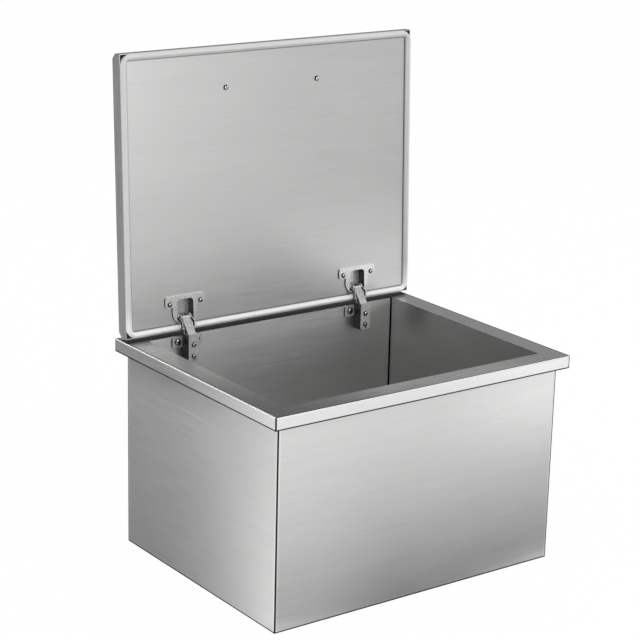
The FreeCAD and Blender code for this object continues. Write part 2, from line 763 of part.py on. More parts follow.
def lid_gasket():
    """Bulb that seals on the rim, on a narrower root that fills the lid's channel."""
    low = lip - gasket_proud
    inner = inset_block(gasket_inset + gasket_width, low, strip_low, gasket_corner_inside)
    bulb = inset_block(gasket_inset, low, lip, gasket_corner)
    bulb = bulb.makeChamfer(gasket_chamfer, edges_at(bulb, low)).cut(inner)
    mouth = [e for e in edges_at(bulb, low) if edge_is_inside(e)]
    bulb = bulb.makeChamfer(gasket_chamfer, mouth)
    root_corner = gasket_corner - gasket_root_inset + gasket_inset
    root = inset_block(gasket_root_inset, lip, strip_low, root_corner).cut(inner)
    return bulb.fuse(root).removeSplitter()


def edge_is_inside(edge):
    """Whether an edge belongs to the gasket's inner outline."""
    box = edge.BoundBox
    near = gasket_inset + gasket_width - 0.01
    return (box.XMin > -half_lid_x + near and box.XMax < half_lid_x - near
            and box.YMin > lid_front + near and box.YMax < lid_rear - near)


# ---------------------------------------------------------------- handle, modelled with the lid shut
def lid_handle():
    """Bow handle bent from one round rod."""
    face = lip + lid_thickness + handle_collar_height
    high = lip + lid_thickness + handle_standoff
    pieces = []
    for x, y, _ in handle_seats():
        inward = math.copysign(handle_bend, -x)
        elbow = V(x, y, high - handle_bend)
        section = Part.Face(Part.Wire([Part.makeCircle(handle_rod / 2, elbow, V(*UP))]))
        pieces.append(post(handle_rod / 2, x, y, face, high - handle_bend))
        pieces.append(section.revolve(elbow + V(inward, 0, 0), V(0, inward, 0), 90))
    (x0, y, _), (x1, _, _) = handle_seats()
    pieces.append(rod(handle_rod / 2, (x0 + handle_bend, y, high), (x1 - handle_bend, y, high)))
    return handle_holes(joined(pieces))


def handle_collars():
    collars = []
    face = lip + lid_thickness
    top = face + handle_collar_height
    for x, y, _ in handle_seats():
        collar = post(handle_collar / 2, x, y, face, top)
        collar = collar.makeChamfer(handle_collar_chamfer, edges_at(collar, top))
        collars.append(collar.cut(post(handle_screw / 2 + screw_fit, x, y, face, top)))
    return Part.makeCompound(collars)


def handle_screws():
    return screws(handle_seats(), UP, handle_screw_grip, handle_screw)


# ---------------------------------------------------------------- the whole chest
def screws(seats, inward, length=screw_length, shank=screw_shank, head=screw_head):
    return Part.makeCompound([pan_screw(seat, inward, length, shank, head) for seat in seats])


def chest_nodes():
    nodes = {
        "casing_front": casing_front(),
        "casing_rear": casing_rear(),
        "casing_left": casing_left(),
        "casing_right": casing_right(),
        "base_pan": base_pan(),
        "rim_frame": rim_frame(),
        "inner_tub": inner_tub(),
        "insulation_front": insulation_front(),
        "insulation_rear": insulation_rear(),
        "insulation_left": foam_side(-1),
        "insulation_right": foam_side(1),
        "insulation_base": insulation_base(),
        "drain_spud": drain_spud(),
        "drain_washer": drain_washer(),
        "drain_nut": drain_nut(),
        "drain_strainer": drain_strainer(),
        "drain_stopper": drain_stopper(),
    }
    for name, side in hinge_sides:
        x = side * hinge_x
        nodes["hinge_plate_" + name] = hinge_plate(x)
        nodes["hinge_plate_screws_" + name] = screws(plate_screw_seats(x), TO_BACK, head=plate_screw_head)
        nodes["hinge_arm_" + name] = hinge_arm(x)
        nodes["hinge_arm_screws_" + name] = screws(arm_screw_seats(x), TO_BACK, arm_screw_length)
        nodes["hinge_arm_pins_" + name] = arm_pins(x)
        nodes["hinge_outer_link_" + name] = outer_link(x)
        nodes["hinge_inner_link_" + name] = inner_link(x)
    return nodes


def lid_nodes():
    nodes = {
        "lid_skin": lid_skin(),
        "lid_inner_panel": lid_inner_panel(),
        "lid_foam": lid_foam(),
        "lid_breaker_strip": lid_breaker_strip(),
        "lid_gasket": lid_gasket(),
        "lid_handle": lid_handle(),
        "lid_handle_collars": handle_collars(),
        "lid_handle_screws": handle_screws(),
    }
    for name, side in hinge_sides:
        x = side * hinge_x
        nodes["hinge_cup_" + name] = hinge_cup(x)
        nodes["hinge_cup_pins_" + name] = cup_pins(x)
        nodes["hinge_cup_screws_" + name] = screws(cup_screw_seats(x), UP)
    return {name: swing_open(shape) for name, shape in nodes.items()}


os.makedirs("parts", exist_ok=True)
for node, shape in {**chest_nodes(), **lid_nodes()}.items():
    shape.exportStep("parts/" + node + ".step")

print("pivots at rest, in mm (y, z)")
for name, point in (("pole", pole), ("A", pivot_a), ("B", pivot_b), ("C", pivot_c), ("D", pivot_d)):
    print("  %s %.4f %.4f" % (name, *point))
print("outer link turns %.4f degrees" % (direction(pivot_a, pivot_c_shut) - direction(pivot_a, pivot_c)))
print("inner link turns %.4f degrees" % (direction(pivot_b, pivot_d_shut) - direction(pivot_b, pivot_d)))
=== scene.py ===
"""Looks of the drop-in ice chest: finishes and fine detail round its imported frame.

Everything is in metres, with the frame's axes: X right along the front, Y to the back, Z up.
"""

import json
import math

import bmesh
import bpy
from mathutils import Matrix, Vector


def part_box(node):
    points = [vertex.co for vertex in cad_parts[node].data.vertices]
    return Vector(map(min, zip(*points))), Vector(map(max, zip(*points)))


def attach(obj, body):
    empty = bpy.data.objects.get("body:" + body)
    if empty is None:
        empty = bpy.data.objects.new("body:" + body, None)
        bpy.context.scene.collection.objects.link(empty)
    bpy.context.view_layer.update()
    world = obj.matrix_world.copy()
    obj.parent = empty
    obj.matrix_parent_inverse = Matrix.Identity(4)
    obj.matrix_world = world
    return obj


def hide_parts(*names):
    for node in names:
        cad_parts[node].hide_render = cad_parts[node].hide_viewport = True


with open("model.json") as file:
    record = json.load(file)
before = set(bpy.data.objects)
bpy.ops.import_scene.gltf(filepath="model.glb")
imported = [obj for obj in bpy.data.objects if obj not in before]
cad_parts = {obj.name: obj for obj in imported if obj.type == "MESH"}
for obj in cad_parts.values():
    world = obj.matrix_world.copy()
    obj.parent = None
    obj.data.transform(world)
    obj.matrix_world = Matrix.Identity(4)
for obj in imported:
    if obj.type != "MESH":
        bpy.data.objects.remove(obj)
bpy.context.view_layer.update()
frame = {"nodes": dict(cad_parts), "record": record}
nodes = frame["nodes"]

MM = 0.001
right, to_back, up = Vector((1, 0, 0)), Vector((0, 1, 0)), Vector((0, 0, 1))

# ---------------------------------------------------------------- camera
camera_place = Vector((-1.658802, -2.212498, 1.170940))
camera_azimuth = -36.2035       # degrees, 0 looks along +Y
camera_elevation = 16.5369
camera_roll = 1.4124
camera_lens = 114.008           # mm, on the sensor below
sensor_width = 36.0
clip_end = 200.0

# ---------------------------------------------------------------- sizes read from the frame
rim_low, rim_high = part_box("rim_frame")
case_low, case_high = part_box("casing_front")
gasket_low, gasket_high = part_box("lid_gasket")
tub_low, tub_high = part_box("inner_tub")
half_rim_x, half_rim_y = rim_high.x, rim_high.y
half_case_x, half_case_y = case_high.x, -case_low.y
skirt_bottom, rim_top = rim_low.z, rim_high.z


# ---------------------------------------------------------------- node graphs
line_edge = (0.8, 1.2)          # a drawn line fades out between these shares of its width


class Graph:
    """The node tree of a material or world, with one short call for each kind of node used here."""

    def __init__(self, owner):
        owner.use_nodes = True
        self.tree = owner.node_tree
        self.shader = self.tree.nodes.get("Principled BSDF")

    def node(self, kind, inputs=(), **settings):
        """Adds a node; inputs pairs a socket's name or number with a value or another node's socket."""
        made = self.tree.nodes.new("ShaderNode" + kind)
        for key, value in settings.items():
            setattr(made, key, value)
        for socket, value in dict(inputs).items():
            self.feed(made.inputs[socket], value)
        return made

    def feed(self, socket, value):
        if isinstance(value, bpy.types.NodeSocket):
            self.tree.links.new(value, socket)
        else:
            socket.default_value = value

    def math(self, operation, *values):
        return self.node("Math", dict(enumerate(values)), operation=operation).outputs[0]

    def plus(self, first, second):
        return self.math("ADD", first, second)

    def minus(self, first, second):
        return self.math("SUBTRACT", first, second)

    def times(self, first, second):
        return self.math("MULTIPLY", first, second)

    def absolute(self, value):
        return self.math("ABSOLUTE", value)

    def vector_math(self, operation, *values):
        return self.node("VectorMath", dict(enumerate(values)), operation=operation).outputs[0]

    def parts(self, vector):
        """The X, Y and Z of a vector."""
        return self.node("SeparateXYZ", {0: vector}).outputs

    def noise(self, vector, scale=1.0, detail=2.0):
        return self.node("TexNoise", {"Vector": vector, "Scale": scale, "Detail": detail}).outputs["Fac"]

    def swing(self, noise, depth, middle=0.0):
        """A noise that swings by depth in all round a middle value."""
        return self.plus(self.times(noise, depth), middle - depth / 2)

    def span(self, value, low, high, to_low=0.0, to_high=1.0, smooth=True):
        """Maps value from low..high to to_low..to_high, clamped."""
        inputs = {"Value": value, "From Min": low, "From Max": high, "To Min": to_low, "To Max": to_high}
        kind = "SMOOTHSTEP" if smooth else "LINEAR"
        return self.node("MapRange", inputs, interpolation_type=kind).outputs["Result"]

    def mix(self, factor, first, second):
        """Mixes two numbers."""
        return self.node("Mix", {0: factor, 2: first, 3: second}, data_type="FLOAT").outputs[0]

    def mix_vector(self, factor, first, second):
        return self.node("Mix", {0: factor, 4: first, 5: second}, data_type="VECTOR").outputs[1]

    def line(self, distance, width, tone, shade):
        """Redraws shade with tone where distance is less than width."""
        inner, outer = (share * width for share in line_edge)
        return self.mix(self.span(distance, inner, outer, 1.0, 0.0), shade, tone)

    def grey(self, value, tint=(1.0, 1.0, 1.0)):
        """A colour of the given brightness and tint."""
        parts = [self.times(value, share) for share in tint]
        return self.node("CombineColor", dict(enumerate(parts))).outputs[0]

    def set(self, **values):
        for name, value in values.items():
            self.feed(self.shader.inputs[name.replace("_", " ")], value)

    def bump(self, height, distance, strength=1.0):
        inputs = {"Height": height, "Distance": distance, "Strength": strength}
        self.feed(self.shader.inputs["Normal"], self.node("Bump", inputs).outputs[0])


def material(name):
    made = bpy.data.materials.new(name)
    return made, Graph(made)


# ---------------------------------------------------------------- brushed sheet
steel_tint = (1.0, 0.996, 0.99)
facing_limit = 0.7              # a face looks along an axis when its normal has more than this of it
fine_brush = (16.0, 800.0, 3.0)     # waves per metre along and across the brushing, and their detail
broad_brush = (3.0, 70.0, 2.0)
cloud_scale = 5.0
broad_depth, cloud_depth = 0.05, 0.05       # how much they change the tone
rough_depth, rough_cloud_depth = 0.20, 0.06     # and the roughness
brush_gloss = 0.6               # how far the gloss is drawn out across the brushing
brush_bump = 0.02 * MM
brush_bump_strength = 0.6


def brushed_steel(name, tone, roughness, side_brush=(0, 1, 0), lines=None, metallic=1.0, grain=0.16):
    """Sheet steel with a satin brushing: along X, or along side_brush on faces that look along X.

    lines(graph, place, normal, shade) may redraw the shade, for seams and for painted highlights, light
    and shade.
    """
    made, graph = material(name)
    coordinates = graph.node("TexCoord").outputs
    place, normal = coordinates["Object"], coordinates["Normal"]
    aside = graph.parts(graph.vector_math("ABSOLUTE", normal))[0]
    on_side = graph.math("GREATER_THAN", aside, facing_limit)

    def streaks(along, across, detail):
        front = graph.vector_math("MULTIPLY", place, (along, across, across))
        side_scales = tuple(along if part else across for part in side_brush)
        side = graph.vector_math("MULTIPLY", place, side_scales)
        return graph.noise(graph.mix_vector(on_side, front, side), detail=detail)

    fine, broad = streaks(*fine_brush), streaks(*broad_brush)
    clouds = graph.noise(place, cloud_scale)
    shade = graph.plus(graph.swing(fine, grain, 1.0), graph.swing(broad, broad_depth))
    shade = graph.times(tone, graph.plus(shade, graph.swing(clouds, cloud_depth)))
    if lines:
        shade = lines(graph, place, normal, shade)
    rough = graph.plus(graph.swing(fine, rough_depth), graph.swing(clouds, rough_cloud_depth, roughness))
    brush = graph.mix_vector(on_side, (1.0, 0.0, 0.0), tuple(float(part) for part in side_brush))
    across = graph.vector_math("CROSS_PRODUCT", normal, brush)
    tangent = graph.node("VectorTransform", {0: across}, vector_type="VECTOR", convert_from="OBJECT",
                         convert_to="WORLD").outputs[0]
    graph.set(Base_Color=graph.grey(shade, steel_tint), Metallic=metallic, Roughness=rough,
              Anisotropic=brush_gloss, Tangent=tangent)
    graph.bump(fine, brush_bump, brush_bump_strength)
    return made


# ---------------------------------------------------------------- seams, and painted highlights, light and shade
seam_and_shade_tone = 0.03                # dark joint between two sheets; also painted shade under an edge, at a fold, in the tub's inside corners and under the open lid
painted_highlight_tone = 0.95              # painted highlight along an edge, beside a dark line
seam_width = 1.8 * MM
# width of the painted highlight beside a dark line
painted_highlight_width = 4.2 * MM

side_shade_depth = 60.0 * MM    # painted shadow on the casing's sides under the skirt
side_shade_y = (-0.2, 0.1)      # from here to here it changes from its front to its rear share
side_shade_front, side_shade_rear = 1.04, 0.76
front_light = 1.22              # painted light on the upper right of the casing's front, against the rest
light_x = (0.0, 0.25)
light_z = (0.10, 0.27)

wall_sheet = 1.0 * MM           # thickness of the tub's walls
# painted shade in the tub's inside corners
tub_corner_width = 2.0 * MM
tub_side_shade = 0.52           # painted shade on the tub's side walls, against its front and rear
tub_side_turn = (0.6, 0.8)

gasket_width = 9.2 * MM         # lid's edge of the gasket to the panel inside it
panel_line = 1.6 * MM           # painted shadow line beside the gasket
panel_shadow_share = 0.45
panel_low_light = 1.30          # painted light on the low end of the lid's inner panel, against the rest
panel_low_reach = 0.2

skirt_light = 1.13              # painted light on the right end of the front skirt, against the rest
skirt_turn = (0.5, 0.8)
fold_width = 0.7 * MM           # painted shade where the flange folds down into the skirt, front and rear
fold_width_side = 1.7 * MM      # the same on the left and the right, inside the rounded edge, which gets a painted highlight
fold_radius = 1.6 * MM
# painted highlight on the skirt below the fold
fold_painted_highlight = 3.0 * MM
fold_soft = 0.2 * MM

flange_painted_shade = 0.90             # painted shade: the flange darker than the skirt it is folded from
flange_corner_painted_shade = 0.26      # painted shade, darker still, at its front left corner
flange_corner_reach = (0.02, 0.42)
flange_light = 1.45             # painted light on a stretch halfway along the front
flange_light_x, flange_light_reach = 0.03, 0.18
shadow_half_length = 251.0 * MM  # painted shadow on the rear flange, under the open lid
shadow_middle, shadow_half_width = 180.0 * MM, 11.0 * MM
shadow_soft = 0.3 * MM


def corner_distance(graph, place, half_x, half_y):
    """Distance along a wall to the nearest upright corner of a box with these half sizes."""
    x, y, _ = graph.parts(graph.vector_math("ABSOLUTE", place))
    return graph.math("MAXIMUM", graph.minus(half_x, x), graph.minus(half_y, y))


def dark_line_by_painted_highlight(graph, distance, shade, dark=seam_width, bright=painted_highlight_width):
    """A dark line beside a painted highlight along an edge: a seam at a corner, painted shade at a fold.
    """
    shade = graph.line(distance, bright, painted_highlight_tone, shade)
    return graph.line(distance, dark, seam_and_shade_tone, shade)


def casing_lines(graph, place, normal, shade):
    """Dark seams at the upright corners beside painted highlights, a dark line along the bottom, and
    painted shadow and painted light near the skirt.
    """
    x, y, z = graph.parts(place)
    aside = graph.parts(graph.vector_math("ABSOLUTE", normal))[0]
    at_skirt = graph.span(y, *side_shade_y, side_shade_front, side_shade_rear)
    side = graph.span(z, skirt_bottom - side_shade_depth, skirt_bottom, 1.0, at_skirt)
    upper_right = graph.times(graph.span(x, *light_x), graph.span(z, *light_z))
    front = graph.mix(upper_right, 1.0, front_light)
    shade = graph.times(shade, graph.mix(graph.math("GREATER_THAN", aside, facing_limit), front, side))
    shade = dark_line_by_painted_highlight(graph, corner_distance(graph, place, half_case_x, half_case_y), shade)
    return graph.line(z, seam_width, seam_and_shade_tone, shade)


def tub_lines(graph, place, normal, shade):
    """Painted shade in the inside corners and on the side walls."""
    aside = graph.parts(graph.vector_math("ABSOLUTE", normal))[0]
    shade = graph.times(shade, graph.span(aside, *tub_side_turn, 1.0, tub_side_shade))
    middle, half = (tub_low + tub_high) / 2, (tub_high - tub_low) / 2
    place = graph.vector_math("SUBTRACT", place, (middle.x, middle.y, 0.0))
    distance = corner_distance(graph, place, half.x - wall_sheet, half.y - wall_sheet)
    return graph.line(distance, tub_corner_width, seam_and_shade_tone, shade)


def panel_lines(graph, place, normal, shade):
    """A painted shadow line beside the gasket, and painted light on the low end."""
    x, _, z = graph.parts(place)
    aside = graph.minus(gasket_high.x - gasket_width, graph.absolute(x))
    above = graph.minus(z, gasket_low.z + gasket_width)
    below = graph.minus(gasket_high.z - gasket_width, z)
    distance = graph.math("MINIMUM", aside, graph.math("MINIMUM", above, below))
    shade = graph.times(shade, graph.span(z, rim_top, rim_top + panel_low_reach, panel_low_light, 1.0))
    return graph.line(distance, panel_line, graph.times(shade, panel_shadow_share), shade)


def skirt_lines(graph, place, normal, shade):
    """Painted shade and a painted highlight at the fold, dark corner seams beside painted highlights and
    a dark lower edge; painted light on the front's right end.
    """
    x, _, height = graph.parts(place)
    forward = graph.times(graph.parts(normal)[1], -1.0)
    front_right = graph.times(graph.span(x, *light_x), graph.span(forward, *skirt_turn))
    shade = graph.times(shade, graph.mix(front_right, 1.0, skirt_light))
    shade = dark_line_by_painted_highlight(graph, graph.minus(rim_top, height), shade, fold_width, fold_painted_highlight)
    shade = dark_line_by_painted_highlight(graph, corner_distance(graph, place, half_rim_x, half_rim_y), shade)
    return graph.line(graph.minus(height, skirt_bottom), seam_width, seam_and_shade_tone, shade)


def flange_lines(graph, place, shade):
    """The flange painted darker than the skirt and darker still at its front left corner, painted light
    halfway along the front, painted shade along the folded edges with a painted highlight on the rounded
    sides, and a painted shadow under the open lid.
    """
    x, y, _ = graph.parts(place)
    from_corner = graph.plus(graph.plus(x, half_rim_x), graph.plus(y, half_rim_y))
    share = graph.span(from_corner, *flange_corner_reach, flange_corner_painted_shade, flange_painted_shade)
    off_light = graph.absolute(graph.minus(x, flange_light_x))
    light = graph.span(off_light, 0.0, flange_light_reach, flange_light, 1.0)
    shade = graph.math("MINIMUM", graph.times(graph.times(shade, share), light), painted_highlight_tone)
    shade = graph.line(graph.minus(half_rim_y, graph.absolute(y)), fold_width, seam_and_shade_tone, shade)
    inside = graph.minus(half_rim_x - fold_radius, graph.absolute(x))
    turn = graph.mix(graph.span(inside, -fold_soft, fold_soft), painted_highlight_tone, seam_and_shade_tone)
    shade = graph.line(inside, fold_width_side, turn, shade)
    past_end = graph.minus(graph.absolute(x), shadow_half_length)
    past_side = graph.minus(graph.absolute(graph.minus(y, shadow_middle)), shadow_half_width)
    outside = graph.math("MAXIMUM", past_end, past_side)
    return graph.mix(graph.span(outside, -shadow_soft, shadow_soft, 1.0, 0.0), shade, seam_and_shade_tone)


def rim_lines(graph, place, normal, shade):
    on_top = graph.math("GREATER_THAN", graph.parts(normal)[2], facing_limit)
    return graph.mix(on_top, skirt_lines(graph, place, normal, shade), flange_lines(graph, place, shade))


# ---------------------------------------------------------------- other materials
grain_detail = 3.0
metal_grain, metal_clouds = 900.0, 60.0     # noise scales, per metre
metal_tone_depth, metal_rough_depth = 0.16, 0.10
metal_bump, metal_bump_strength = 0.01 * MM, 0.25
polymer_grain, polymer_clouds = 700.0, 25.0
polymer_tone_depth, polymer_rough_depth = 0.10, 0.12
polymer_bump, polymer_bump_strength = 0.02 * MM, 0.6
low_light_run = (rim_top + 12.0 * MM, rim_top + 60.0 * MM)    # heights between which the painted light low on the open lid gives way
foam_cells = 900.0
foam_tone, foam_tone_depth, foam_bump = 0.79, 0.14, 0.2 * MM
foam_tint, foam_roughness = (1.0, 0.95, 0.80), 0.85


def bright_metal(name, tone, roughness, metallic=1.0, edge=1.0, turn=(0.45, 0.85), upward_too=True):
    """Plated or polished pressings with a faint grain.

    edge is the share of the tone that is left, as painted shade, where a surface turns away from the
    front and, with upward_too, from the top; turn is the range of its normal in which that happens.
    """
    made, graph = material(name)
    coordinates = graph.node("TexCoord").outputs
    place, normal = coordinates["Object"], coordinates["Normal"]
    grain = graph.noise(place, metal_grain, grain_detail)
    clouds = graph.noise(place, metal_clouds)
    _, forward, upward = graph.parts(normal)
    facing = graph.absolute(forward)
    if upward_too:
        facing = graph.math("MAXIMUM", facing, upward)
    shade = graph.times(graph.swing(clouds, metal_tone_depth, 1.0), tone)
    shade = graph.times(shade, graph.span(facing, *turn, edge, 1.0))
    rough = graph.swing(grain, metal_rough_depth, roughness)
    graph.set(Base_Color=graph.grey(shade, steel_tint), Metallic=metallic, Roughness=rough)
    graph.bump(grain, metal_bump, metal_bump_strength)
    return made


def soft_polymer(name, tone, roughness, low_light_tone=None):
    """Rubber or plastic with a fine moulded grain; low_light_tone is painted light, a lighter tone for
    what lies low on the open lid.
    """
    made, graph = material(name)
    place = graph.node("TexCoord").outputs["Object"]
    grain = graph.noise(place, polymer_grain, grain_detail)
    clouds = graph.noise(place, polymer_clouds, grain_detail)
    if low_light_tone:
        tone = graph.span(graph.parts(place)[2], *low_light_run, low_light_tone, tone)
    shade = graph.times(graph.swing(clouds, polymer_tone_depth, 1.0), tone)
    graph.set(Base_Color=graph.grey(shade), Roughness=graph.swing(grain, polymer_rough_depth, roughness))
    graph.bump(grain, polymer_bump, polymer_bump_strength)
    return made


def foam(name):
    made, graph = material(name)
    place = graph.node("TexCoord").outputs["Object"]
    cells = graph.node("TexVoronoi", {"Vector": place, "Scale": foam_cells}).outputs["Distance"]
    shade = graph.swing(cells, foam_tone_depth, foam_tone)
    graph.set(Base_Color=graph.grey(shade, foam_tint), Roughness=foam_roughness)
    graph.bump(cells, foam_bump)
    return made


# One steel for casing, rim, tub, lid and panel; the different tones between them are painted light and
# shade.
steel_case = brushed_steel("casing_steel", 0.80, 0.34, lines=casing_lines, metallic=0.88)
steel_rim = brushed_steel("rim_steel", 0.90, 0.30, lines=rim_lines, grain=0.08)
steel_tub = brushed_steel("tub_steel", 0.97, 0.36, lines=tub_lines)
steel_lid = brushed_steel("lid_steel", 0.61, 0.33, side_brush=(0, 0, 1))
steel_panel = brushed_steel("panel_steel", 0.58, 0.33, side_brush=(0, 0, 1), lines=panel_lines)
# edge: painted shade on the sides and undersides of the hinge pressings, and round the screw heads
nickel = bright_metal("hinge_nickel", 0.86, 0.28, 0.68, edge=0.06)
steel_screw = bright_metal("screw_steel", 0.80, 0.22, edge=0.02, turn=(0.88, 0.99), upward_too=False)
steel_handle = bright_metal("handle_steel", 0.62, 0.24)
steel_drain = bright_metal("drain_steel", 0.60, 0.26)
# painted light on the gasket's low run, on the open lid
rubber_gasket = soft_polymer("gasket_rubber", 0.57, 0.45, low_light_tone=0.82)
plastic_black = soft_polymer("black_plastic", 0.02, 0.45)
rubber_black = soft_polymer("black_rubber", 0.018, 0.55)
foam_core = foam("foam_core")

finishes = {                    # the first start of a name that fits counts
    "casing_": steel_case,
    "base_pan": steel_case,
    "rim_frame": steel_rim,
    "inner_tub": steel_tub,
    "insulation_": foam_core,
    "drain_washer": rubber_black,
    "drain_stopper": rubber_black,
    "drain_": steel_drain,
    "hinge_": nickel,
    "lid_skin": steel_lid,
    "lid_inner_panel": steel_panel,
    "lid_foam": foam_core,
    "lid_breaker_strip": plastic_black,
    "lid_gasket": rubber_gasket,
    "lid_handle": steel_handle,
}


def finish_for(name):
    if "_screws" in name:
        return steel_screw
    return next(finish for start, finish in finishes.items() if name.startswith(start))


for name, node in nodes.items():
    for slot in node.material_slots:
        slot.material = finish_for(name)


# ---------------------------------------------------------------- screws with a cross recess
weld = 0.001 * MM               # corners nearer than this are one corner
screw_head_height = 2.2 * MM
screw_head_rim = 0.25           # straight rim under the dome, as a share of the head's height
screw_dome = 0.8                # below 1 for a fuller dome
screw_dome_rings, screw_steps = 6, 32
screw_shank_radius = 2.0 * MM
screw_sharp = math.radians(35)
cross_depth = 1.5 * MM
cross_width = 0.22              # of the head's radius, half the width of an arm of the cross
cross_length = 0.62             # of the head's radius
cross_taper = (0.45, 0.8)       # length and width left at the cross's deep end
screw_turns = (18, 31, 13)      # degrees: start, step per screw, step per letter of the node's name
lid_lean = math.radians(2.16)   # the lid's lean past upright, as it is stored
into_lid = Vector((0, math.cos(lid_lean), -math.sin(lid_lean)))


def to_mesh(shape, name):
    """Turns a bmesh into a mesh and frees it."""
    mesh = bpy.data.meshes.new(name)
    shape.to_mesh(mesh)
    shape.free()
    return mesh


def loose_parts(mesh):
    """The places of the corners of each loose part of a mesh, from its lower left to its upper right."""
    shape = bmesh.new()
    shape.from_mesh(mesh)
    bmesh.ops.remove_doubles(shape, verts=shape.verts, dist=weld)
    left, parts = set(shape.verts), []
    while left:
        front, part = [left.pop()], []
        while front:
            corner = front.pop()
            part.append(corner.co.copy())
            near = {edge.other_vert(corner) for edge in corner.link_edges} & left
            left -= near
            front += near
        parts.append(part)
    shape.free()
    return sorted(parts, key=lambda part: min(corner.x + corner.z for corner in part))


def turned_mesh(name, profile, steps):
    """A solid turned about Z from (radius, z) points that start and end on the axis."""
    shape = bmesh.new()
    corners = [shape.verts.new((radius, 0, z)) for radius, z in profile]
    edges = [shape.edges.new(pair) for pair in zip(corners, corners[1:])]
    bmesh.ops.spin(shape, geom=corners + edges, cent=(0, 0, 0), axis=(0, 0, 1), angle=2 * math.pi,
                   steps=steps, use_duplicate=False)
    bmesh.ops.remove_doubles(shape, verts=shape.verts, dist=weld)
    bmesh.ops.recalc_face_normals(shape, faces=shape.faces)
    return to_mesh(shape, name)


def cross_cutter(radius):
    """A tapered cross that stands in the head's top and points into it."""
    shape = bmesh.new()
    for turn in (0, math.pi / 2):
        bar = bmesh.ops.create_cube(shape, size=2.0)["verts"]
        for corner in bar:
            deep = corner.co.z > 0
            length_left, width_left = cross_taper if deep else (1.0, 1.0)
            corner.co.x *= radius * cross_length * length_left
            corner.co.y *= radius * cross_width * width_left
            corner.co.z = cross_depth - screw_head_height if deep else -screw_head_height - cross_depth
        bmesh.ops.rotate(shape, verts=bar, cent=(0, 0, 0), matrix=Matrix.Rotation(turn, 3, "Z"))
    return to_mesh(shape, "cross")


def carved(mesh, cutter):
    """The mesh less the cutter."""
    objects = [bpy.data.objects.new("carving", each) for each in (mesh, cutter)]
    for each in objects:
        bpy.context.scene.collection.objects.link(each)
    cut = objects[0].modifiers.new("cut", "BOOLEAN")
    cut.operation, cut.solver, cut.object = "DIFFERENCE", "EXACT", objects[1]
    cut.use_self = True
    ready = objects[0].evaluated_get(bpy.context.evaluated_depsgraph_get())
    result = bpy.data.meshes.new_from_object(ready)
    for each in objects:
        bpy.data.objects.remove(each)
    return result


def screw_mesh(radius, length):
    """A pan-head screw along Z: the domed head below zero, the shank above it."""
    profile = [(0, -screw_head_height)]
    for ring in range(1, screw_dome_rings + 1):
        angle = math.pi / 2 * ring / screw_dome_rings
        rise = screw_head_rim + (1 - screw_head_rim) * math.cos(angle) ** screw_dome
        profile.append((radius * math.sin(angle), -screw_head_height * rise))
    shank_end = length - screw_shank_radius
    profile += [(radius, 0), (screw_shank_radius, 0), (screw_shank_radius, shank_end), (0, length)]
    return turned_mesh("screw", profile, screw_steps)


def body_of(node_name):
    bodies = frame["record"]["behaviour"]["bodies"]
    return next(body for body, held in bodies.items() if node_name in held)


def cross_screws(node_name, inward):
    """Stands in for a node of plain screws."""
    side = inward.cross(right)
    first_turn, turn_per_screw, turn_per_letter = screw_turns
    shape = bmesh.new()
    for index, part in enumerate(loose_parts(nodes[node_name].data)):
        spans = [[corner.dot(axis) for corner in part] for axis in (right, side, inward)]
        middle = [(min(span) + max(span)) / 2 for span in spans]
        radius = (max(spans[0]) - min(spans[0])) / 2
        seat = min(spans[2]) + screw_head_height
        mesh = carved(screw_mesh(radius, max(spans[2]) - seat), cross_cutter(radius))
        degrees = first_turn + turn_per_screw * index + turn_per_letter * len(node_name)
        turn = Matrix.Rotation(math.radians(degrees), 4, "Z")
        place = Matrix.Translation(right * middle[0] + side * middle[1] + inward * seat)
        mesh.transform(place @ inward.to_track_quat("Z", "X").to_matrix().to_4x4() @ turn)
        shape.from_mesh(mesh)
    mesh = to_mesh(shape, node_name + "_cross")
    mesh.shade_smooth()
    mesh.set_sharp_from_angle(angle=screw_sharp)
    mesh.materials.clear()
    mesh.materials.append(steel_screw)
    screws = bpy.data.objects.new(node_name + "_cross", mesh)
    bpy.context.scene.collection.objects.link(screws)
    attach(screws, body_of(node_name))
    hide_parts(node_name)


for name in [name for name in nodes if "_screws" in name]:
    cross_screws(name, into_lid if "cup" in name or "handle" in name else to_back)


# ---------------------------------------------------------------- softened edges
rounding_segments = 3
rounding_angle = math.radians(30)       # edges sharper than this are rounded
edge_rounding = {
    "lid_gasket": 1.6 * MM,
    "hinge_cup_": 0.35 * MM,
    "hinge_plate_": 0.35 * MM,
    "hinge_arm_": 0.3 * MM,
    "hinge_outer_link_": 0.35 * MM,
    "hinge_inner_link_": 0.2 * MM,
}


def soften(node, width):
    """Rounds a node's sharp edges with a modifier."""
    bevel = node.modifiers.new("rounded", "BEVEL")
    bevel.width, bevel.segments = width, rounding_segments
    bevel.limit_method, bevel.angle_limit = "ANGLE", rounding_angle


for start, width in edge_rounding.items():
    for name, node in nodes.items():
        if name.startswith(start) and "_screws" not in name and "_pins" not in name:
            soften(node, width)


# ---------------------------------------------------------------- floor
floor_radius, floor_sides = 40.0, 96
floor_drop = 0.4 * MM           # floor just under the base
floor_tone = 0.92
floor_white = 0.97              # share of plain white in what the camera sees of the floor

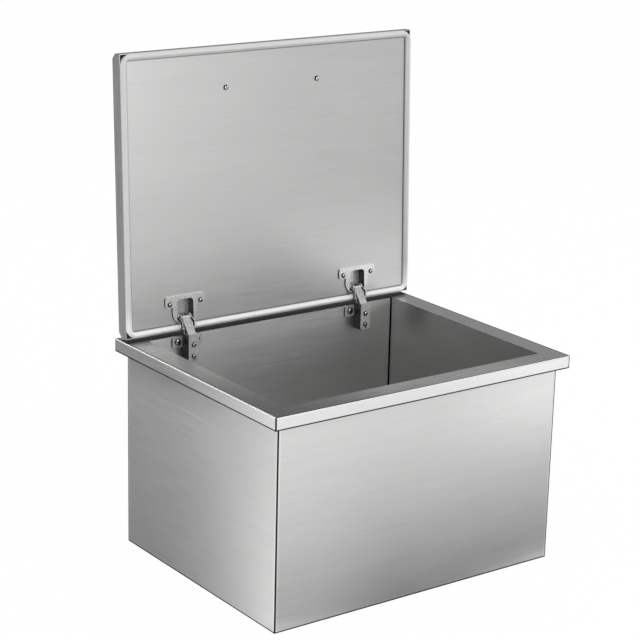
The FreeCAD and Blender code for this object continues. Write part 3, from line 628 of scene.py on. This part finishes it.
# What the metal sees of the floor: painted shade and light that the floor gives off itself. Its pattern
# slants, so that it runs on upwards in the faces.
front_slant = 0.75              # in front: metres to the right per metre out
near_reach = 0.78
near_left, near_right, far_floor = 0.22, 0.02, 1.00
lid_left, lid_right = 0.90, 0.43        # further out, where the open lid sees it
lid_width, lid_reach = 0.5, (0.95, 1.3)
pool_level, pool_size = 0.40, 0.42      # painted pool of light on the right
pool_place = (0.88, 0.84)
side_slant = 1.33               # beside the chest: metres back per metre out
side_front, side_rear, side_power = 1.05, 0.17, 2.6
foot_share, foot_reach = 0.80, 0.45     # painted shade at the chest's foot
far_behind = (1.5, 3.0)
side_to_front = (-0.04, 0.06)   # how far in front of the chest one pattern turns into the other

# What lies behind the chest counts less.
behind_low = 0.55               # share left at the horizon and far out on the floor
behind_again = 0.10             # share left for light that metal passes on
second_mirroring = 1.5          # between the depths of the first and the second mirroring
behind_soft = 0.1


class Rays:
    """Which kind of ray looks at the floor or the world, as numbers in a node tree."""

    def __init__(self, graph):
        path = graph.node("LightPath").outputs
        self.graph = graph
        self.camera = path["Is Camera Ray"]
        self.mirrored = graph.math("MAXIMUM", path["Is Glossy Ray"], path["Is Transmission Ray"])
        self.later = graph.math("GREATER_THAN", path["Glossy Depth"], second_mirroring)

    def dimmed(self, behind):
        """The share that is left of what lies behind the chest, from the second mirroring on."""
        return self.graph.mix(self.graph.times(self.later, behind), 1.0, behind_again)


def floor_in_front(graph, x, reach):
    """Painted shade close to the chest and lighter further out, with a painted pool of light on the
    right.
    """
    across = graph.minus(x, graph.times(reach, front_slant))
    near = graph.span(across, -half_case_x, 0.0, near_left, near_right)
    shade = graph.mix(graph.span(reach, 0.0, near_reach, smooth=False), near, far_floor)
    far = graph.span(across, 0.0, lid_width, lid_left, lid_right, smooth=False)
    shade = graph.mix(graph.span(reach, *lid_reach), shade, far)
    off = [graph.minus(part, middle) for part, middle in zip((x, reach), pool_place)]
    away = graph.math("SQRT", graph.plus(*[graph.times(part, part) for part in off]))
    return graph.plus(shade, graph.span(away, 0.0, pool_size, pool_level, 0.0))


def floor_beside(graph, x, y):
    """Painted shade to the rear, at the chest's foot and far behind."""
    out = graph.minus(graph.absolute(x), half_case_x)
    along = graph.minus(y, graph.times(out, side_slant))
    forward = graph.span(along, half_case_y, -half_case_y, smooth=False)
    shade = graph.mix(graph.math("POWER", forward, side_power), side_rear, side_front)
    shade = graph.times(shade, graph.span(out, 0.0, foot_reach, foot_share, 1.0, smooth=False))
    return graph.times(shade, graph.span(y, *far_behind, 1.0, behind_low))


def make_floor():
    shape = bmesh.new()
    bmesh.ops.create_circle(shape, cap_ends=True, radius=floor_radius, segments=floor_sides)
    mesh = to_mesh(shape, "floor")
    floor = bpy.data.objects.new("floor", mesh)
    floor.location.z = -floor_drop
    bpy.context.scene.collection.objects.link(floor)
    made, graph = material("floor")
    rays = Rays(graph)
    graph.set(Base_Color=(floor_tone, floor_tone, floor_tone, 1.0), Roughness=1.0)
    x, y, _ = graph.parts(graph.node("TexCoord").outputs["Object"])
    reach = graph.minus(graph.times(y, -1.0), half_case_y)
    side, front = floor_beside(graph, x, y), floor_in_front(graph, x, reach)
    seen = graph.mix(graph.span(reach, *side_to_front), side, front)
    seen = graph.times(seen, rays.dimmed(graph.span(y, half_case_y, half_case_y + behind_soft)))
    strength = graph.mix(rays.camera, seen, 1.0)
    plain = graph.node("Emission", {"Color": (1.0, 1.0, 1.0, 1.0), "Strength": strength}).outputs[0]
    share = graph.math("MAXIMUM", graph.times(rays.camera, floor_white), rays.mirrored)
    both = graph.node("MixShader", {0: share, 1: graph.shader.outputs[0], 2: plain}).outputs[0]
    graph.feed(graph.tree.nodes["Material Output"].inputs["Surface"], both)
    mesh.materials.append(made)


# ---------------------------------------------------------------- world
world_level = 0.92              # light for everything but mirrors
horizon = 1.05                  # the studio's front and side walls, low down, as the metal sees them
wall_fades = (0.10, 0.60)       # sines of the heights between which they darken
sky_dark = 0.26                 # the studio's ceiling and rear wall
rear_wall = (-0.1, 0.3)         # share of Y in the direction where the rear wall takes over
left_wall = (-0.35, -0.15)      # share of X where the left wall ends, which runs on behind the chest
rear_horizon = (0.05, 0.2)


def make_world():
    """Even light for the object, white behind it, and walls that darken upwards for the metal."""
    world = bpy.data.worlds.new("studio")
    bpy.context.scene.world = world
    graph = Graph(world)
    rays = Rays(graph)
    rightward, rearward, height = graph.parts(graph.node("TexCoord").outputs["Generated"])
    behind = graph.times(graph.span(rearward, *rear_wall), graph.span(rightward, *left_wall))
    wall = graph.times(graph.span(height, *wall_fades, horizon, 0.0), graph.minus(1.0, behind))
    low = graph.mix(behind, 1.0, graph.span(height, *rear_horizon, behind_low, 1.0))
    dark = graph.times(sky_dark, low)
    seen = graph.times(graph.math("MAXIMUM", wall, dark), rays.dimmed(behind))
    strength = graph.mix(rays.mirrored, world_level, seen)
    background = graph.tree.nodes["Background"].inputs
    background["Color"].default_value = (1.0, 1.0, 1.0, 1.0)
    graph.feed(background["Strength"], graph.mix(rays.camera, strength, 1.0))


# ---------------------------------------------------------------- lamps and camera
lamps = {                       # place, aim, width and height, watts
    "key": ((3.4, -1.8, 1.4), (0, 0, 0.3), (1.6, 1.6), 20.0),
    "fill": ((-3.0, -2.0, 1.8), (0, 0, 0.3), (2.0, 2.0), 9.0),
    "rear": ((-2.3, 3.1, 1.25), (-0.2, 0.0, 0.3), (0.9, 0.7), 9.0),
    "low": ((1.0, -3.0, 0.9), (-0.1, 0.17, 0.5), (0.8, 0.8), 6.0),
    "top": ((0.0, -1.4, 3.2), (0, 0, 0.2), (1.2, 1.2), 15.0),
}


def soft_box(name, place, aim, sides, power):
    """A rectangular area lamp at place, turned to aim."""
    data = bpy.data.lights.new(name, "AREA")
    data.shape = "RECTANGLE"
    data.size, data.size_y = sides
    data.energy = power
    lamp = bpy.data.objects.new(name, data)
    lamp.location = place
    lamp.visible_camera = False
    lamp.rotation_mode = "QUATERNION"
    lamp.rotation_quaternion = (Vector(aim) - Vector(place)).to_track_quat("-Z", "Y")
    bpy.context.scene.collection.objects.link(lamp)


def make_camera():
    turn, rise, roll = (math.radians(angle) for angle in (camera_azimuth, camera_elevation, camera_roll))
    level = math.cos(rise)
    back = Vector((math.sin(turn) * level, -math.cos(turn) * level, math.sin(rise)))
    flat_side = (-back).cross(up).normalized()
    flat_top = flat_side.cross(-back)
    side = flat_side * math.cos(roll) + flat_top * math.sin(roll)
    top = flat_top * math.cos(roll) - flat_side * math.sin(roll)
    data = bpy.data.cameras.new("camera")
    data.lens, data.sensor_width, data.clip_end = camera_lens, sensor_width, clip_end
    camera = bpy.data.objects.new("camera", data)
    axes = Matrix((side, top, back)).transposed().to_4x4()
    camera.matrix_world = Matrix.Translation(camera_place) @ axes
    bpy.context.scene.collection.objects.link(camera)
    bpy.context.scene.camera = camera


make_floor()
make_world()
for name, settings in lamps.items():
    soft_box(name, *settings)
make_camera()
bpy.context.scene.view_settings.view_transform = "Standard"
